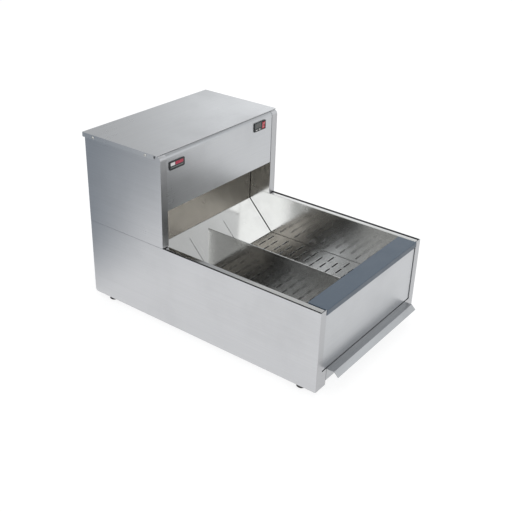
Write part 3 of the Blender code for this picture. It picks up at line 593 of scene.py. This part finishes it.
def make_rear_screws(finish):
    """Screws along both sides of the rear panel."""
    panel_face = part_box("rear_panel")[1][1]
    pattern = screw_mesh()
    for side, x in zip(("left", "right"), REAR_SCREW_XS):
        for number, height in enumerate(REAR_SCREW_HEIGHTS, 1):
            mesh = pattern.copy()
            turn = Matrix.Rotation(SCREW_TURN * number + x, 4, "Y")
            mesh.transform(Matrix.Translation((x, panel_face, height)) @ turn)
            screw = bpy.data.objects.new(f"rear_screw_{side}_{number}", mesh)
            bpy.context.collection.objects.link(screw)
            dress(screw, finish, "cabinet")


# Studio


def camera_axes():
    """The camera's right, up and backward directions, from its azimuth, drop and roll."""
    azimuth, drop, roll = (math.radians(a) for a in (CAMERA_AZIMUTH, CAMERA_DROP, CAMERA_ROLL))
    forward = Vector(
        (-math.sin(azimuth) * math.cos(drop), math.cos(azimuth) * math.cos(drop), -math.sin(drop))
    )
    level = forward.cross(Vector((0, 0, 1))).normalized()
    upright = level.cross(forward)
    right = math.cos(roll) * level + math.sin(roll) * upright
    up = -math.sin(roll) * level + math.cos(roll) * upright
    return right, up, -forward


def make_camera():
    data = bpy.data.cameras.new("camera")
    data.lens = LENS
    data.sensor_width = 36.0
    camera = bpy.data.objects.new("camera", data)
    turn = Matrix(camera_axes()).transposed().to_4x4()
    camera.matrix_world = Matrix.Translation(CAMERA_PLACE) @ turn
    bpy.context.collection.objects.link(camera)
    bpy.context.scene.camera = camera


def make_floor():
    """A pale floor that is lit from below as well, so that it stays white around the object."""
    material = new_material(
        "floor_paper", (FLOOR_GREY,) * 3, 0.95,
        Specular_IOR_Level=0.0, Emission_Color=(1.0, 1.0, 1.0, 1.0), Emission_Strength=FLOOR_GLOW,
    )[0]

    def make(bm):
        bmesh.ops.create_grid(bm, x_segments=1, y_segments=1, size=FLOOR_SIZE / 2)

    floor = mesh_object("floor", make)
    floor.data.materials.append(material)


def make_card():
    """A dark card beside the object's left and behind it, which only reflections show.

    It lies on the floor and stands up further out, and fades in towards its rear and upwards.
    """
    material = bpy.data.materials.new("card")
    material.use_nodes = True
    tree = material.node_tree
    tree.nodes.clear()
    where = add(tree, "SeparateXYZ", {"Vector": add(tree, "TexCoord").outputs["Object"]}).outputs
    rear = smooth_step(tree, where["Y"], *CARD_REAR_YS)
    upward = smooth_step(tree, where["Z"], *CARD_UPPER_ZS, 0.0, CARD_UPPER_COVER)
    upper = maths(tree, "MULTIPLY", upward, smooth_step(tree, where["Y"], *CARD_UPPER_YS))
    both = maths(tree, "ADD", maths(tree, "MULTIPLY", rear, CARD_REAR_SHARE), upper)
    cover = maths(tree, "MINIMUM", maths(tree, "MAXIMUM", rear, both), 1.0)
    grey = add(tree, "Emission", {"Color": CARD_GREY, "Strength": 1.0})
    clear = add(tree, "BsdfTransparent")
    blend = add(tree, "MixShader", {0: cover, 1: clear.outputs[0], 2: grey.outputs[0]})
    output = add(tree, "OutputMaterial")
    tree.links.new(blend.outputs[0], output.inputs["Surface"])

    def make(bm):
        far, near = CARD_XS
        bottom, top = CARD_HEIGHTS
        section = [(near, bottom), (far, bottom), (far, top)]
        rows = [[bm.verts.new((x, y, z)) for x, z in section] for y in CARD_YS]
        for i in range(2):
            bm.faces.new((rows[0][i], rows[0][i + 1], rows[1][i + 1], rows[1][i]))

    card = mesh_object("card", make)
    card.data.materials.append(material)
    for kind in ("camera", "diffuse", "transmission", "shadow"):
        setattr(card, f"visible_{kind}", False)


def softbox(tree, direction, azimuth, elevation, edge, core, strength):
    """A soft patch of sky. edge and core are the cosines of its angles from the middle."""
    azimuth, elevation = math.radians(azimuth), math.radians(elevation)
    level = math.cos(elevation)
    towards = (math.sin(azimuth) * level, math.cos(azimuth) * level, math.sin(elevation))
    facing = add(tree, "VectorMath", {0: direction, 1: towards}, operation="DOT_PRODUCT")
    return smooth_step(tree, facing.outputs["Value"], edge, core, 0.0, strength)


def make_sky():
    """A soft grey studio with a low bright strip at the object's right and two softboxes."""
    world = bpy.data.worlds.new("studio")
    world.use_nodes = True
    tree = world.node_tree
    background = tree.nodes["Background"]
    direction = add(tree, "TexCoord").outputs["Generated"]
    height = add(tree, "SeparateXYZ", {"Vector": direction}).outputs["Z"]
    strip = maths(
        tree, "MULTIPLY",
        softbox(tree, direction, **STRIP), smooth_step(tree, height, *STRIP_TOP, 1.0, 0.0),
    )
    boxes = [softbox(tree, direction, **box) for box in (SIDE_SOFTBOX, FRONT_SOFTBOX)]
    strength = maths(tree, "MAXIMUM", strip, maths(tree, "ADD", boxes[0], boxes[1]))
    tree.links.new(maths(tree, "ADD", strength, SKY_GREY), background.inputs["Strength"])
    background.inputs["Color"].default_value = SKY_TINT
    bpy.context.scene.world = world


def make_studio():
    bpy.context.scene.view_settings.view_transform = "Standard"
    make_sky()
    make_floor()
    make_card()
    overhead = bpy.data.lights.new("overhead", "AREA")
    overhead.shape = "RECTANGLE"
    overhead.size = overhead.size_y = OVERHEAD_SIZE
    overhead.energy = OVERHEAD_WATTS
    light = bpy.data.objects.new("overhead", overhead)
    light.location = OVERHEAD_PLACE
    bpy.context.collection.objects.link(light)


# Finishes of the CAD nodes


def finish_nodes():
    """Gives every CAD node its finish and rounded edges. Returns the finishes by slot."""
    # Painted light and shade: these copies of one brushed steel differ in base colour by how light
    # falls on each. The lid and sides are lighter, the front and rear panels darker, and the tray's
    # handle darker still.
    side_steel = brushed_steel("brushed_side", "Y", "X", (0.575, 0.580, 0.595), painted_shade=SIDE_PAINTED_SHADE)
    front_steel = brushed_steel("brushed_front", "X", "Y", (0.505, 0.515, 0.530), painted_shade=FRONT_PAINTED_SHADE)
    handle_steel = brushed_steel("brushed_handle", "X", "Y", (0.430, 0.440, 0.452))
    lid_steel = brushed_steel("brushed_lid", "X", "Z", (0.590, 0.598, 0.612))
    polished = polished_steel("polished_bin")
    # Partly heat tint and partly painted shade: the back wall under the hood is a darker, browner
    # copy of the polished steel. The darkening stands in for the shade under the hood.
    heat_tint_and_painted_shade = polished_steel("heat_tint_and_painted_shade", (0.35, 0.325, 0.29))
    zinc = galvanised_steel("galvanised")
    black = moulded("black_plastic", (0.020, 0.022, 0.024), 0.42)
    finishes = {
        "base_side_panel_left": side_steel,
        "base_side_panel_right": side_steel,
        "hood_side_panel_left": side_steel,
        "hood_side_panel_right": side_steel,
        "hood_front_panel": front_steel,
        "front_panel": front_steel,
        "rear_panel": front_steel,
        "crumb_tray_handle": handle_steel,
        "hood_top_cover": lid_steel,
        "bin_back_wall": heat_tint_and_painted_shade,
        "front_rail": slate_composite("slate_composite"),
        "display_lens": moulded(
            "display_window", (0.026, 0.046, 0.044), 0.12, 400.0, 0.00001, Coat_Weight=0.5
        ),
        "power_rocker": moulded("red_plastic", (0.46, 0.025, 0.045), 0.30),
        "blower_motor": moulded("motor_enamel", (0.03, 0.03, 0.03), 0.35),
        "heating_element": heater_sheath("heater_sheath"),
        "terminal_block": moulded("terminal_plastic", (0.72, 0.69, 0.60), 0.50),
        "motor_shaft": polished_steel("ground_shaft", (0.60, 0.60, 0.60), 0.22),
        "temperature_probe": polished_steel("probe_sheath", (0.60, 0.60, 0.60), 0.25),
    }
    by_slot = {
        "polished_stainless": polished,
        "galvanised_steel": zinc,
        "zinc_plated_screw": polished_steel("zinc_plate", (0.60, 0.60, 0.58), 0.28),
        "foot_rubber": moulded("foot_rubber", (0.022, 0.022, 0.023), 0.72, 500.0, 0.00015),
        "black_plastic": black,
        "badge_enamel": black,
        "button_plastic": moulded("button_plastic", (0.62, 0.62, 0.60), 0.40),
    }
    for entry in frame["record"]["subparts"]:
        node = entry["node"]
        material = finishes.get(node) or by_slot[entry["material_slot"]]
        NODES[node].data.materials.clear()
        NODES[node].data.materials.append(material)
        round_edges(NODES[node])
    return by_slot


make_camera()
make_studio()
slot_finishes = finish_nodes()
make_badge(
    {
        "rim": moulded("badge_rim", (0.030, 0.032, 0.035), 0.22),
        "badge_light_bar": moulded("badge_light", (0.66, 0.63, 0.63), 0.30),
        "badge_red_bar": moulded("badge_red", (0.40, 0.035, 0.070), 0.30),
        "badge_lower_line": moulded("badge_grey", (0.20, 0.22, 0.21), 0.30),
    }
)
make_display(moulded("unlit_segment", (0.080, 0.030, 0.030), 0.35))
make_button_marks(slot_finishes["black_plastic"])
make_rocker_marks(moulded("mark_white", (0.74, 0.72, 0.71), 0.45))
make_rear_screws(slot_finishes["zinc_plated_screw"])
